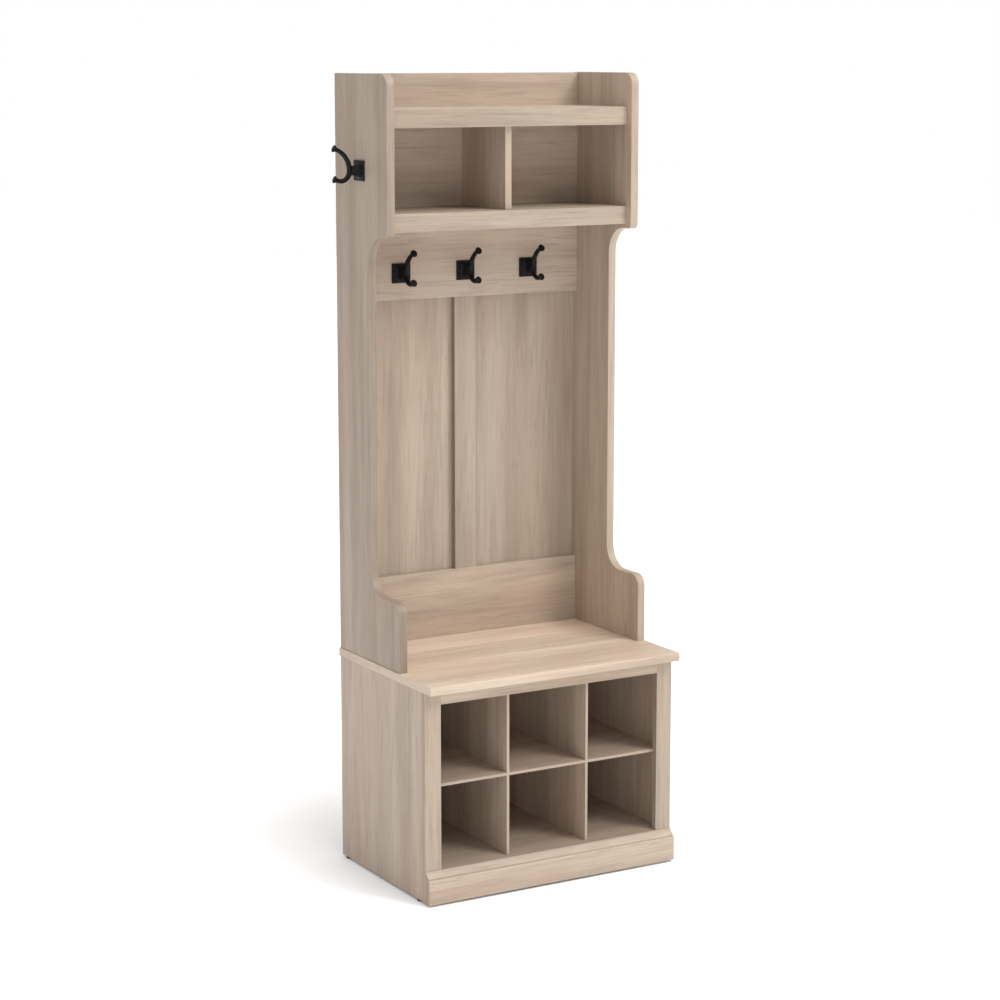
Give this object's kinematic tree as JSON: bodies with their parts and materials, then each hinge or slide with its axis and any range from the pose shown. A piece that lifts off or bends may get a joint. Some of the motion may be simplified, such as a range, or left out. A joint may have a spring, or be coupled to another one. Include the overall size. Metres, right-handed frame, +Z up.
{
  "type": "hall tree",
  "caption": "Tall entryway hall tree: cubbies and coat hooks on a cut-away hutch over an open shoe-cubby bench.",
  "frame": {"origin": "on the floor, under the middle of the overall box; the side hook widens that box to the left, so the carcass's middle plane stands at x = +0.030 m", "axes": "+Z up; the front of the bench faces -Y and its back, which stands at a wall, faces +Y; +X is to the right seen from the front, so the side hook sticks out to -X"},
  "size_m": [0.6714, 0.413, 1.6975],
  "materials": {
    "board": "washed oak-look laminate, matt",
    "back_sheet": "thin back sheet, washed oak-look face",
    "hook_metal": "satin black powder coat",
    "hook_screw_steel": "black oxide",
    "zinc": "cast zinc",
    "bolt_steel": "bright zinc plate",
    "dowel_wood": "plain beech",
    "glide_plastic": "matt black"
  },
  "bodies": {
    "root": {"back_sheet_screws": "bolt_steel", "bench_back_sheet": "back_sheet", "bench_deck": "board", "bench_seat": "board", "cam_bolts": "bolt_steel", "cam_locks": "zinc", "centre_stile": "board", "cubby_divider": "board", "cubby_floor": "board", "cubby_floor_rail": "board", "dowels": "dowel_wood", "glides": "glide_plastic", "hook_screws": "hook_screw_steel", "left_bench_side": "board", "left_divider": "board", "left_hook": "hook_metal", "left_hutch_side": "board", "left_recess_panel": "back_sheet", "left_stile": "board", "lower_back_board": "board", "middle_hook": "hook_metal", "middle_shelf": "board", "plinth": "board", "right_bench_side": "board", "right_divider": "board", "right_hook": "hook_metal", "right_hutch_side": "board", "right_recess_panel": "back_sheet", "right_stile": "board", "seat_rail": "board", "seat_screws": "bolt_steel", "side_hook": "hook_metal", "top_shelf": "board", "top_shelf_rail": "board", "upper_back_board": "board"}
  },
  "joints": []
}
